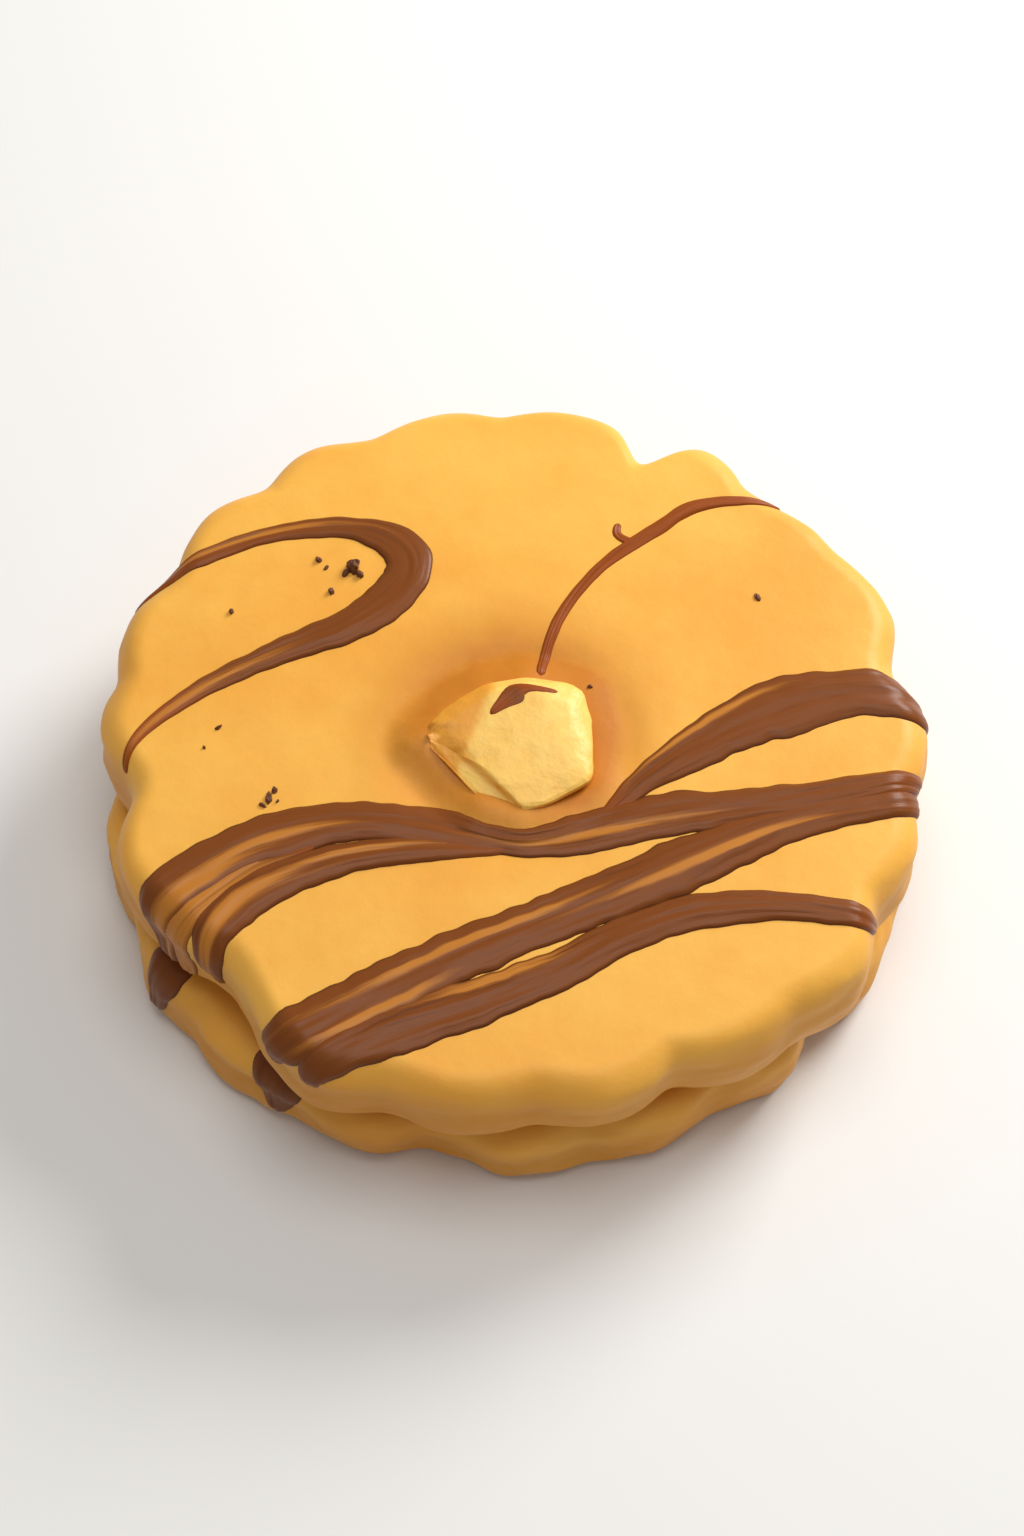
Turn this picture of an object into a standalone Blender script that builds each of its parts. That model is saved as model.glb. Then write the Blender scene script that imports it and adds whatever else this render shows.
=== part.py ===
"""Iced sandwich biscuit, 75 mm across and 21 mm high over the nut.

Two fluted rounds of short biscuit hold a thin filling. Caramel icing coats both rounds and dips
round a broken piece of nut. Poured chocolate strands cross the top and run over its edge.
"""

import math
import random

import bmesh
import bpy
from mathutils import Vector, noise

MM = 0.001

# Heights of the stack, from the table up. Neighbouring pieces stand a hair apart.
GAP = 0.3 * MM
BASE_HEIGHT = 7.2 * MM
FILLING_HEIGHT = 1.8 * MM
TOP_HEIGHT = 7.4 * MM
FILLING_LEVEL = BASE_HEIGHT + GAP
TOP_LEVEL = FILLING_LEVEL + FILLING_HEIGHT + GAP

# Plan of both rounds: shallow flutes, softened where the icing fills their valleys.
RIM_RADIUS = 36.5 * MM
FLUTES = 18
FLUTE_DEPTH = 1.5 * MM
FLUTE_MIDDLE = 0.7
FLUTE_STRENGTH = 0.9
FLUTE_UNEVENNESS = 0.7
VALLEY_SOFTNESS = 0.3
FLUTE_WANDER = 0.07
RIM_WANDER = 0.9 * MM
TOP_SEED = 4.2
BASE_SEED = 9.6

# Chips and pinches of the upper rim: angle and half width in degrees, depth in millimetres. A
# negative depth is a bulge.
TOP_NOTCHES = (
    (67, 4, 3.4),
    (10, 6, 1.2),
    (45, 7, 1.6),
    (190, 8, 1.8),
    (224, 7, 3.0),
    (154, 5, 0.9),
    (245, 8, -1.2),
    (315, 12, -1.2),
)
BASE_NOTCHES = ((95, 6, 1.6), (262, 7, 1.4), (318, 6, 1.2))

# Section of the rounds.
TOP_SHOULDER = 2.7 * MM
BASE_SHOULDER = 2.4 * MM
FOOT_RADIUS = 1.5 * MM
DOME_RISE = 0.7 * MM
TOP_WANDER = 0.35 * MM
TOP_WANDER_SIZE = 14.0 * MM
TOP_LUMPS = 1.1 * MM
BASE_LUMPS = 1.5 * MM
LUMP_SIZE = 5.0 * MM
LUMPS_ROUND = 3.4
DRIP_REACH = 1.5 * MM
UNDERCUT = 3.4 * MM
FILLING_RECESS = 3.7 * MM
FILLING_WANDER = 0.4 * MM

# The dip in the icing and the nut that lies in it, forward of the middle.
NUT_PLACE = Vector((0.0, -3.4 * MM))
DIP_RADIUS = 13.0 * MM
DIP_DEPTH = 2.5 * MM
NUT_CORNERS = (
    (-8.3, 0.6),
    (-6.2, 3.6),
    (-2.5, 6.3),
    (1.4, 7.0),
    (6.5, 5.8),
    (7.3, 2.2),
    (7.4, -4.1),
    (3.4, -6.5),
    (0.8, -7.1),
    (-2.4, -6.1),
)
NUT_CREST = (
    (-4.6, 0.9, 3.8),
    (-1.6, 4.3, 5.0),
    (1.6, 4.8, 5.3),
    (5.4, 3.1, 4.8),
    (5.2, -2.4, 4.4),
    (-1.0, -4.4, 3.7),
)
NUT_WAIST = 1.7 * MM
NUT_FOOT_SIZE = 0.86
NUT_CLEARANCE = 0.1 * MM
NUT_HEEL = 0.2 * MM

# Chocolate strands on the top: x, y and width in millimetres, measured from the nut. Beyond the
# rim the distances run on down the side of the round.
STRAND_DEPTH = 0.75 * MM
STRAND_EDGE = 0.3 * MM
STRAND_ROOT = 0.9 * MM
STRAND_STEP = 2.2 * MM
STRAND_FLANK = 0.85
STRAND_LEAST = 0.35
STRAND_FULL_WIDTH = 5.0 * MM
PROBE = 0.2 * MM
PROBE_ANGLE = 0.01
TOP_STRANDS = {
    "hairpin": (
        (-36.0, 16.7, 1.5),
        (-29.2, 20.6, 2.0),
        (-22.0, 23.5, 2.2),
        (-15.0, 24.2, 2.7),
        (-10.2, 22.0, 4.2),
        (-9.6, 18.0, 4.6),
        (-14.0, 13.6, 4.2),
        (-20.5, 10.4, 2.9),
        (-27.0, 6.8, 2.2),
        (-32.0, 2.6, 1.4),
        (-34.6, -1.6, 0.9),
    ),
    "thread": (
        (2.6, 8.2, 0.9),
        (4.4, 13.9, 1.2),
        (8.0, 19.4, 1.2),
        (13.5, 24.1, 1.6),
        (18.0, 27.1, 1.5),
        (25.6, 27.8, 0.8),
    ),
    "long": (
        (-32.5, -18.3, 3.4),
        (-29.2, -14.3, 4.8),
        (-22.0, -9.4, 5.2),
        (-14.0, -7.4, 4.4),
        (-5.5, -8.1, 4.2),
        (1.5, -9.4, 3.4),
        (8.0, -8.1, 4.4),
        (16.0, -6.5, 4.4),
        (24.0, -5.2, 3.4),
        (31.0, -3.7, 2.6),
        (39.6, -1.8, 1.6),
    ),
    "long_fork": (
        (-26.8, -21.0, 3.0),
        (-22.8, -15.0, 4.4),
        (-15.5, -11.5, 3.4),
        (-8.0, -10.2, 2.8),
        (2.0, -9.8, 1.6),
    ),
    "leaf": (
        (7.4, -7.6, 1.4),
        (12.0, -3.0, 3.0),
        (17.5, 1.1, 5.2),
        (24.0, 4.5, 6.2),
        (30.5, 6.1, 5.4),
        (36.0, 5.7, 4.4),
        (40.2, 4.4, 2.8),
    ),
    "front": (
        (-20.5, -29.0, 3.6),
        (-17.5, -27.4, 5.2),
        (-10.5, -23.7, 5.6),
        (-3.5, -20.0, 5.0),
        (4.5, -16.5, 5.0),
        (12.0, -13.0, 5.4),
        (19.5, -9.4, 4.8),
        (26.0, -6.9, 3.8),
        (38.5, -4.4, 2.2),
    ),
    "front_fork": (
        (-16.2, -30.5, 3.2),
        (-10.5, -27.4, 5.0),
        (-3.5, -25.0, 4.8),
        (3.5, -22.0, 4.0),
        (9.5, -18.5, 3.8),
        (16.0, -16.2, 3.6),
        (24.0, -15.7, 3.0),
        (33.2, -17.0, 1.8),
    ),
}

# Chocolate runs on the side of the lower round: angle in degrees, width in millimetres.
BASE_RUNS = ((213, 5.0), (236, 6.5), (352, 4.0))
RUN_START = 1.0 * MM

# Mesh density.
SECTORS = 108
TOP_RINGS = 11
SHOULDER_RINGS = 4
SIDE_RINGS = 3
FOOT_RINGS = 3

ICING = (0.84, 0.40, 0.095, 1.0)
FILLING = (0.36, 0.17, 0.035, 1.0)
CHOCOLATE = (0.17, 0.065, 0.022, 1.0)
NUT = (0.90, 0.60, 0.22, 1.0)


def wander(theta, roughness, seed):
    """Smooth noise in -1..1 that closes on itself round the biscuit."""
    return noise.noise(Vector((roughness * math.cos(theta), roughness * math.sin(theta), seed)))


def smooth(t):
    t = min(max(t, 0.0), 1.0)
    return t * t * (3.0 - 2.0 * t)


def angle_between(a, b):
    return abs((a - b + math.pi) % math.tau - math.pi)


class Round:
    """One iced round in its own frame: its underside is at z = 0 and its middle is on the z axis."""

    def __init__(self, seed, height, shoulder, dome, drip, lumps, notches, dip):
        self.seed = seed
        self.height = height
        self.shoulder = shoulder
        self.dome = dome
        self.drip = drip
        self.lumps = lumps
        self.notches = notches
        self.dip = dip
        self.turn = random.Random(seed).uniform(0.0, math.tau / FLUTES)

    def rim(self, theta):
        """Radius of the outermost edge at this angle."""
        turned = theta + self.turn + FLUTE_WANDER * wander(theta, 1.6, self.seed)
        lobe = math.hypot(math.cos(turned * FLUTES / 2.0), VALLEY_SOFTNESS) - FLUTE_MIDDLE
        strength = FLUTE_STRENGTH + FLUTE_UNEVENNESS * wander(theta, 2.3, self.seed + 3.1)
        radius = RIM_RADIUS + FLUTE_DEPTH * strength * lobe
        radius += RIM_WANDER * wander(theta, 1.2, self.seed + 7.7)
        for angle, half_width, depth in self.notches:
            away = angle_between(theta, math.radians(angle)) / math.radians(half_width)
            radius -= depth * MM * math.exp(-away * away)
        return radius

    def top(self, x, y):
        """Height of the upper face over this point of the plan."""
        spread = math.hypot(x, y) / RIM_RADIUS
        level = self.height + self.dome * (1.0 - spread * spread)
        if not self.dip:
            return level
        level += TOP_WANDER * noise.noise(Vector((x, y, self.seed * MM)) / TOP_WANDER_SIZE)
        away = math.hypot(x - NUT_PLACE.x, y - NUT_PLACE.y) / DIP_RADIUS
        return level - DIP_DEPTH * (1.0 - smooth(away))

    def lowest(self, theta):
        """Level of the lower edge: the icing hangs a little below the upper round."""
        return -self.drip * smooth(0.5 + 1.4 * wander(theta, 3.4, self.seed + 11.3))

    def lump(self, theta, z):
        """How far the icing on the side swells or sinks at this level."""
        return self.lumps * wander(theta, LUMPS_ROUND, z / LUMP_SIZE + self.seed)

    def lengths(self, theta):
        """Arc lengths at which the face, the shoulder and the side end."""
        face = self.rim(theta) - self.shoulder
        edge = self.top(face * math.cos(theta), face * math.sin(theta))
        bend = face + self.shoulder * math.pi / 2.0
        return face, bend, bend + edge - self.shoulder - FOOT_RADIUS - self.lowest(theta), edge

    def skin(self, theta, length):
        """Point of the icing at this angle and this arc length from the middle."""
        face, bend, side, edge = self.lengths(theta)
        if length <= face:
            x, y = length * math.cos(theta), length * math.sin(theta)
            return Vector((x, y, self.top(x, y)))
        turn = min((length - face) / self.shoulder, math.pi / 2.0)
        radius = face + self.shoulder * math.sin(turn)
        z = edge - self.shoulder * (1.0 - math.cos(turn))
        z -= min(max(length - bend, 0.0), side - bend)
        radius += self.lump(theta, z) * smooth((edge - z) / self.shoulder)
        return Vector((radius * math.cos(theta), radius * math.sin(theta), z))

    def column(self, theta):
        """Points from the first ring on the face down to the edge of the flat underside."""
        face, bend, side, _ = self.lengths(theta)
        lengths = [face * k / TOP_RINGS for k in range(1, TOP_RINGS + 1)]
        lengths += [face + (bend - face) * k / SHOULDER_RINGS for k in range(1, SHOULDER_RINGS + 1)]
        lengths += [bend + (side - bend) * k / SIDE_RINGS for k in range(1, SIDE_RINGS + 1)]
        points = [self.skin(theta, length) for length in lengths]
        radius = math.hypot(points[-1].x, points[-1].y) - FOOT_RADIUS
        low = self.lowest(theta)
        for k in range(1, FOOT_RINGS + 1):
            turn = k / FOOT_RINGS * math.pi / 2.0
            out = radius + FOOT_RADIUS * math.cos(turn)
            z = low + FOOT_RADIUS * (1.0 - math.sin(turn))
            points.append(Vector((out * math.cos(theta), out * math.sin(theta), z)))
        if self.drip:
            inner = self.rim(theta) - UNDERCUT
            points.append(Vector((inner * math.cos(theta), inner * math.sin(theta), 0.0)))
        return points


TOP_ROUND = Round(TOP_SEED, TOP_HEIGHT, TOP_SHOULDER, DOME_RISE, DRIP_REACH, TOP_LUMPS, TOP_NOTCHES, True)
BASE_ROUND = Round(BASE_SEED, BASE_HEIGHT, BASE_SHOULDER, 0.0, 0.0, BASE_LUMPS, BASE_NOTCHES, False)


def clear_scene():
    for obj in list(bpy.data.objects):
        bpy.data.objects.remove(obj)


def material(name, colour, roughness):
    made = bpy.data.materials.new(name)
    made.use_nodes = True
    shader = made.node_tree.nodes["Principled BSDF"]
    shader.inputs["Base Color"].default_value = colour
    shader.inputs["Roughness"].default_value = roughness
    shader.inputs["Metallic"].default_value = 0.0
    made.diffuse_color = colour
    return made


def add_object(name, bm, surface):
    bmesh.ops.recalc_face_normals(bm, faces=bm.faces)
    mesh = bpy.data.meshes.new(name)
    bm.to_mesh(mesh)
    bm.free()
    mesh.materials.append(surface)
    mesh.shade_smooth()
    obj = bpy.data.objects.new(name, mesh)
    bpy.context.scene.collection.objects.link(obj)
    return obj


def loft(columns, crown):
    """Skin over columns of points set round an axis: a fan on the crown point and a flat cap below."""
    bm = bmesh.new()
    grid = [[bm.verts.new(point) for point in column] for column in columns]
    peak = bm.verts.new(crown)
    for here, after in zip(grid, grid[1:] + grid[:1]):
        bm.faces.new((peak, here[0], after[0]))
        for k in range(len(here) - 1):
            bm.faces.new((here[k], here[k + 1], after[k + 1], after[k]))
    bm.faces.new([column[-1] for column in grid])
    return bm


def build_round(name, shape, surface):
    angles = [math.tau * k / SECTORS for k in range(SECTORS)]
    crown = Vector((0.0, 0.0, shape.top(0.0, 0.0)))
    return add_object(name, loft([shape.column(theta) for theta in angles], crown), surface)


def build_filling(surface):
    """A thin layer with a bulging edge, set back between the rounds."""
    sectors = SECTORS * 2 // 3
    bulge = 0.5 * FILLING_HEIGHT
    columns = []
    for k in range(sectors):
        theta = math.tau * k / sectors
        reach = min(TOP_ROUND.rim(theta), BASE_ROUND.rim(theta)) - FILLING_RECESS - bulge
        reach += FILLING_WANDER * wander(theta, 5.0, 2.2)
        column = []
        for turn in (90, 45, 0, -45, -90):
            out = reach + bulge * math.cos(math.radians(turn))
            z = bulge * (1.0 + math.sin(math.radians(turn)))
            column.append(Vector((out * math.cos(theta), out * math.sin(theta), z)))
        columns.append(column)
    filling = add_object("filling", loft(columns, Vector((0.0, 0.0, FILLING_HEIGHT))), surface)
    filling.location.z = FILLING_LEVEL
    return filling


def nut_floor(corner):
    """Lowest level the nut may reach over this point of the dip."""
    x, y = corner[0] * MM + NUT_PLACE.x, corner[1] * MM + NUT_PLACE.y
    return TOP_ROUND.top(x, y) + GAP


def build_nut(surface):
    """A broken piece of nut: the hull of its foot, its widest corners and its crest."""
    bed = nut_floor((0.0, 0.0))
    bm = bmesh.new()
    for x, y in NUT_CORNERS:
        foot = nut_floor((x, y)) - bed + NUT_CLEARANCE
        bm.verts.new((NUT_FOOT_SIZE * x * MM, NUT_FOOT_SIZE * y * MM, foot))
        bm.verts.new((x * MM, y * MM, foot + NUT_WAIST))
    for x, y, z in NUT_CREST:
        bm.verts.new((x * MM, y * MM, z * MM))
    bm.verts.new((0.0, 0.0, NUT_HEEL))
    hull = bmesh.ops.convex_hull(bm, input=bm.verts)
    bmesh.ops.delete(bm, geom=hull["geom_interior"], context="VERTS")
    nut = add_object("nut", bm, surface)
    nut.data.shade_flat()
    nut.location = (NUT_PLACE.x, NUT_PLACE.y, TOP_LEVEL + bed)
    return nut


def spline(knots, step):
    """Even stations along a smooth curve through the knots, each x, y and width in metres."""
    knots = [Vector(knot) * MM for knot in knots]
    padded = [2 * knots[0] - knots[1], *knots, 2 * knots[-1] - knots[-2]]
    stations = []
    for a, b, c, d in zip(padded, padded[1:], padded[2:], padded[3:]):
        pieces = max(2, round((c - b).length / step))
        for k in range(pieces):
            t = k / pieces
            bend = (2 * a - 5 * b + 4 * c - d) * t * t + (3 * b - a - 3 * c + d) * t**3
            stations.append(0.5 * (2 * b + (c - a) * t + bend))
    return stations + [knots[-1]]


def lifted(shape, place, height):
    """Point at this height over the icing, with the plan position unrolled over the rim."""
    theta, length = math.atan2(place.y, place.x), place.length
    point = shape.skin(theta, length)
    outward = shape.skin(theta, length + PROBE) - shape.skin(theta, length - PROBE)
    around = shape.skin(theta + PROBE_ANGLE, length) - shape.skin(theta - PROBE_ANGLE, length)
    return point + height * outward.cross(around).normalized()


def strand(name, shape, knots, centre, surface):
    """A poured strand: a low crown across the icing whose root is sunk in it."""
    stations = spline(knots, STRAND_STEP)
    bm = bmesh.new()
    rings = []
    for k, station in enumerate(stations):
        before, after = stations[max(k - 1, 0)], stations[min(k + 1, len(stations) - 1)]
        along = (after - before).xy.normalized()
        aside = Vector((-along.y, along.x))
        middle, width = station.xy + centre, station.z
        crown = STRAND_DEPTH * min(1.0, STRAND_LEAST + width / STRAND_FULL_WIDTH)
        flank = STRAND_FLANK * crown
        upper = ((-0.5, -STRAND_EDGE), (-0.3, flank), (0.0, crown), (0.3, flank), (0.5, -STRAND_EDGE))
        section = (*upper, (0.0, -STRAND_ROOT))
        points = [lifted(shape, middle + aside * width * across, height) for across, height in section]
        rings.append([bm.verts.new(point) for point in points])
    for ring, following in zip(rings, rings[1:]):
        for k in range(len(ring)):
            bm.faces.new((ring[k - 1], ring[k], following[k], following[k - 1]))
    bm.faces.new(rings[0])
    bm.faces.new(rings[-1])
    return add_object(name, bm, surface)


def fuse(body, strands):
    """Joins the strands to the round they lie on."""
    group = bpy.data.collections.new("strands")
    bpy.context.scene.collection.children.link(group)
    for piece in strands:
        bpy.context.scene.collection.objects.unlink(piece)
        group.objects.link(piece)
    join = body.modifiers.new("strands", "BOOLEAN")
    join.operation = "UNION"
    join.solver = "EXACT"
    join.operand_type = "COLLECTION"
    join.collection = group
    join.material_mode = "TRANSFER"
    with bpy.context.temp_override(object=body, active_object=body):
        bpy.ops.object.modifier_apply(modifier=join.name)
    for piece in strands:
        bpy.data.objects.remove(piece)
    bpy.data.collections.remove(group)


def build_top(icing, chocolate):
    top = build_round("top_biscuit", TOP_ROUND, icing)
    strands = [
        strand(name, TOP_ROUND, knots, NUT_PLACE, chocolate)
        for name, knots in TOP_STRANDS.items()
    ]
    fuse(top, strands)
    top.location.z = TOP_LEVEL
    return top


def build_base(icing, chocolate):
    base = build_round("base_biscuit", BASE_ROUND, icing)
    runs = []
    for number, (angle, width) in enumerate(BASE_RUNS):
        theta = math.radians(angle)
        face, _, side, _ = BASE_ROUND.lengths(theta)
        start, end = (face + RUN_START) / MM, side / MM
        reach = ((start, 0.8), (0.5 * (start + end), 1.0), (end, 0.4))
        knots = [(far * math.cos(theta), far * math.sin(theta), width * part) for far, part in reach]
        runs.append(strand(f"run_{number}", BASE_ROUND, knots, Vector((0.0, 0.0)), chocolate))
    fuse(base, runs)
    return base


def centre(pieces):
    """Moves the pieces together so that the middle of their plan is on the z axis."""
    points = [piece.location + vertex.co for piece in pieces for vertex in piece.data.vertices]
    for axis in (0, 1):
        values = [point[axis] for point in points]
        for piece in pieces:
            piece.location[axis] -= 0.5 * (min(values) + max(values))


clear_scene()
chocolate = material("chocolate", CHOCOLATE, 0.35)
icing = material("caramel_icing", ICING, 0.42)
centre(
    [
        build_base(icing, chocolate),
        build_filling(material("filling_cream", FILLING, 0.5)),
        build_top(icing, chocolate),
        build_nut(material("nut", NUT, 0.5)),
    ]
)
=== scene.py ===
# %% [markdown]
# # An iced sandwich biscuit
#
# The object is a round fluted sandwich biscuit under caramel icing. Chocolate was poured over it in
# strands, and a broken piece of nut sits in a dip in the middle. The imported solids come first: they
# fix every size and place, and each visible piece is then made around them.

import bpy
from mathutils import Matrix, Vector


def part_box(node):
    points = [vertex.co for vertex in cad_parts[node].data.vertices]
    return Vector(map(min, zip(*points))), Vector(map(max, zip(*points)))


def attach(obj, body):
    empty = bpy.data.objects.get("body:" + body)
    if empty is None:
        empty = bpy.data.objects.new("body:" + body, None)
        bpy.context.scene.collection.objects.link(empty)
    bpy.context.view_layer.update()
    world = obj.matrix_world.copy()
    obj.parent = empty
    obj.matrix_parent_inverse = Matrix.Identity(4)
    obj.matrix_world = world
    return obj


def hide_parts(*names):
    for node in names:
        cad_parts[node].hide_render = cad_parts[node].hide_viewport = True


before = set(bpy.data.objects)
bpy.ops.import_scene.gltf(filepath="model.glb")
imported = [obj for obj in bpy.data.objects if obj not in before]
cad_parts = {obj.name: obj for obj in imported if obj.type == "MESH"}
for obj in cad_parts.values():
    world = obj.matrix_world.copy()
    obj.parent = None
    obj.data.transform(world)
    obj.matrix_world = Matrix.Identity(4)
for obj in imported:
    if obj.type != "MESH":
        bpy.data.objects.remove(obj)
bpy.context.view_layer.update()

import math
import random

import bmesh
import bpy
import numpy as np
from mathutils import Matrix, Vector, noise
from mathutils.bvhtree import BVHTree

MM = 0.001

# %% [markdown]
# ## The biscuit's own middle
#
# The sizes below are measured from the middle of the icing. The solids were shifted a little to
# stand centred on their box, and the nut's box tells by how much, because its widest corners are
# known. Everything that is made from a formula is moved by that shift at the end.

# %% Find the shift
NUT_PLACE = np.array((0.0, -3.4)) * MM
NUT_CORNERS = (
    (-8.3, 0.6),
    (-6.2, 3.6),
    (-2.5, 6.3),
    (1.4, 7.0),
    (6.5, 5.8),
    (7.3, 2.2),
    (7.4, -4.1),
    (3.4, -6.5),
    (0.8, -7.1),
    (-2.4, -6.1),
)
corner_span = np.array(NUT_CORNERS) * MM
nut_low, nut_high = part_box("nut")
nut_middle = 0.5 * (np.array(nut_low.xy) + np.array(nut_high.xy))
SHIFT = nut_middle - 0.5 * (corner_span.min(0) + corner_span.max(0)) - NUT_PLACE
print("shift in mm:", np.round(SHIFT / MM, 3))

# %% [markdown]
# ## One way to write node trees
#
# Both the shapes and the finishes are worked out in node trees. Wiring them by hand takes many
# lines, so a small class wraps a socket and lets Python's own operators add the Math nodes. Any
# other node comes from one method that takes its type, its settings and its sockets.


# %% A socket that takes part in sums
class Wire:
    """One value on its way through a node tree."""

    def __init__(self, bench, socket):
        self.bench = bench
        self.socket = socket

    def __getitem__(self, name):
        return Wire(self.bench, self.socket.node.outputs[name])

    def __add__(self, other):
        return self.bench.maths("ADD", self, other)

    def __radd__(self, other):
        return self.bench.maths("ADD", other, self)

    def __sub__(self, other):
        return self.bench.maths("SUBTRACT", self, other)

    def __rsub__(self, other):
        return self.bench.maths("SUBTRACT", other, self)

    def __mul__(self, other):
        return self.bench.maths("MULTIPLY", self, other)

    def __rmul__(self, other):
        return self.bench.maths("MULTIPLY", other, self)

    def __truediv__(self, other):
        return self.bench.maths("DIVIDE", self, other)


# %% A tree with one way to add a node
class Bench:
    """A node tree to build on."""

    def __init__(self, tree):
        self.tree = tree

    def node(self, kind, settings=(), sockets=()):
        """Adds a node, and returns a wire from its first output."""
        made = self.tree.nodes.new(kind)
        for name, value in dict(settings).items():
            setattr(made, name, value)
        for key, value in dict(sockets).items():
            socket = made.inputs[key]
            if isinstance(value, Wire):
                self.tree.links.new(value.socket, socket)
            elif socket.type == "VECTOR" and isinstance(value, (int, float)):
                socket.default_value = (value,) * 3
            else:
                socket.default_value = value
        shown = [socket for socket in made.outputs if socket.enabled]
        return Wire(self, shown[0]) if shown else made

    def maths(self, operation, *values):
        """A Math node, or a Vector Math node where a value is a vector."""
        wires = [value for value in values if isinstance(value, Wire)]
        vector = any(wire.socket.type == "VECTOR" for wire in wires)
        kind = "ShaderNodeVectorMath" if vector else "ShaderNodeMath"
        return self.node(kind, {"operation": operation}, dict(enumerate(values)))

    def step(self, value, start, end):
        """0 before start and 1 after end, with a smooth rise between them."""
        span = {"Value": value, "From Min": start, "From Max": end}
        return self.node("ShaderNodeMapRange", {"interpolation_type": "SMOOTHSTEP"}, span)

    def ramp_up(self, value, start, end):
        """0 before start and 1 after end, with a straight rise between them."""
        return self.node("ShaderNodeMapRange", (), {"Value": value, "From Min": start, "From Max": end})

    def noise(self, place, scale, detail=2.0, roughness=0.5):
        """Noise from -1 to 1."""
        sockets = {"Vector": place, "Scale": scale, "Detail": detail, "Roughness": roughness}
        return (self.node("ShaderNodeTexNoise", {"noise_dimensions": "3D"}, sockets) - 0.5) * 2.0

    def blend(self, factor, first, second):
        """Colour that goes from the first to the second with the factor."""
        return self.node("ShaderNodeMix", {"data_type": "RGBA"}, {0: factor, 6: first, 7: second})

    def vector(self, x=0.0, y=0.0, z=0.0):
        return self.node("ShaderNodeCombineXYZ", (), {0: x, 1: y, 2: z})

    def painted(self, name):
        """A number that the mesh carries, read by a material."""
        return self.node("ShaderNodeAttribute", {"attribute_name": name})["Fac"]


# %% [markdown]
# ## Trees that grow a mesh
#
# A Geometry Nodes tree is set up once, with named inputs, and run on a small starting mesh. What it
# makes is kept as a plain mesh, so that nothing live is left on the finished piece. A few steps come
# back in every tree: reading and storing a number on the mesh, moving its points, and looking at
# the mesh of another piece.


# %% The steps that every tree uses
class GrowBench(Bench):
    """A tree that grows a mesh."""

    def place(self):
        return self.node("GeometryNodeInputPosition")

    def normal(self):
        return self.node("GeometryNodeInputNormal")

    def stored(self, name):
        """A number that the mesh carries, read by a tree that grows a mesh."""
        return self.node("GeometryNodeInputNamedAttribute", {"data_type": "FLOAT"}, {"Name": name})

    def store(self, geometry, name, value):
        kind = {"data_type": "FLOAT", "domain": "POINT"}
        sockets = {"Geometry": geometry, "Name": name, "Value": value}
        return self.node("GeometryNodeStoreNamedAttribute", kind, sockets)

    def move(self, geometry, how, wire):
        """Moves the points to a Position, or by an Offset."""
        return self.node("GeometryNodeSetPosition", (), {"Geometry": geometry, how: wire})

    def mesh_of(self, piece):
        found = self.node("GeometryNodeObjectInfo", {"transform_space": "RELATIVE"}, {"Object": piece})
        return found["Geometry"]


# %% Start a tree, close it and run it
def start_tree(name, inputs):
    """An empty tree with one input for each name, and the wires that come in."""
    tree = bpy.data.node_groups.new(name, "GeometryNodeTree")
    tree.interface.new_socket("Geometry", in_out="INPUT", socket_type="NodeSocketGeometry")
    for label, kind in inputs.items():
        tree.interface.new_socket(label, in_out="INPUT", socket_type="NodeSocket" + kind)
    tree.interface.new_socket("Geometry", in_out="OUTPUT", socket_type="NodeSocketGeometry")
    bench = GrowBench(tree)
    return bench, bench.node("NodeGroupInput")


def close_tree(bench, geometry, material):
    """Makes instances real, gives them their finish and ends the tree."""
    real = bench.node("GeometryNodeRealizeInstances", (), {"Geometry": geometry})
    coated = bench.node("GeometryNodeSetMaterial", (), {"Geometry": real, "Material": material})
    bench.node("NodeGroupOutput", (), {0: coated})
    return bench.tree


def grow(name, start, tree, values):
    """Runs the tree on the starting mesh and returns the result as an object at the origin."""
    seedling = bpy.data.objects.new(name + "_start", start)
    bpy.context.scene.collection.objects.link(seedling)
    modifier = seedling.modifiers.new("tree", "NODES")
    modifier.node_group = tree
    for item in tree.interface.items_tree:
        if item.in_out == "INPUT" and item.name in values:
            modifier[item.identifier] = values[item.name]
    graph = bpy.context.evaluated_depsgraph_get()
    mesh = bpy.data.meshes.new_from_object(seedling.evaluated_get(graph), depsgraph=graph)
    mesh.name = name
    bpy.data.objects.remove(seedling)
    grown = bpy.data.objects.new(name, mesh)
    bpy.context.scene.collection.objects.link(grown)
    print(name, "has", len(mesh.polygons), "faces")
    return grown


# %% [markdown]
# ## The plan of a round
#
# Each round was cut with a fluted cutter, and the icing has since softened its flutes. The rim is
# the same rule that the solids follow: evenly spaced flutes, made uneven by smooth noise that closes
# on itself, and a few pinched places. The solids' height over the plan is a rule too.

# %% Sizes of the stack
GAP = 0.3 * MM
BASE_HEIGHT = 7.2 * MM
FILLING_HEIGHT = 1.8 * MM
TOP_HEIGHT = 7.4 * MM
FILLING_LEVEL = BASE_HEIGHT + GAP
TOP_LEVEL = FILLING_LEVEL + FILLING_HEIGHT + GAP
FOOT_RADIUS = 1.5 * MM
SECTORS = 480
print("the icing's edge is", round((TOP_LEVEL + TOP_HEIGHT) / MM, 1), "mm high")

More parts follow.
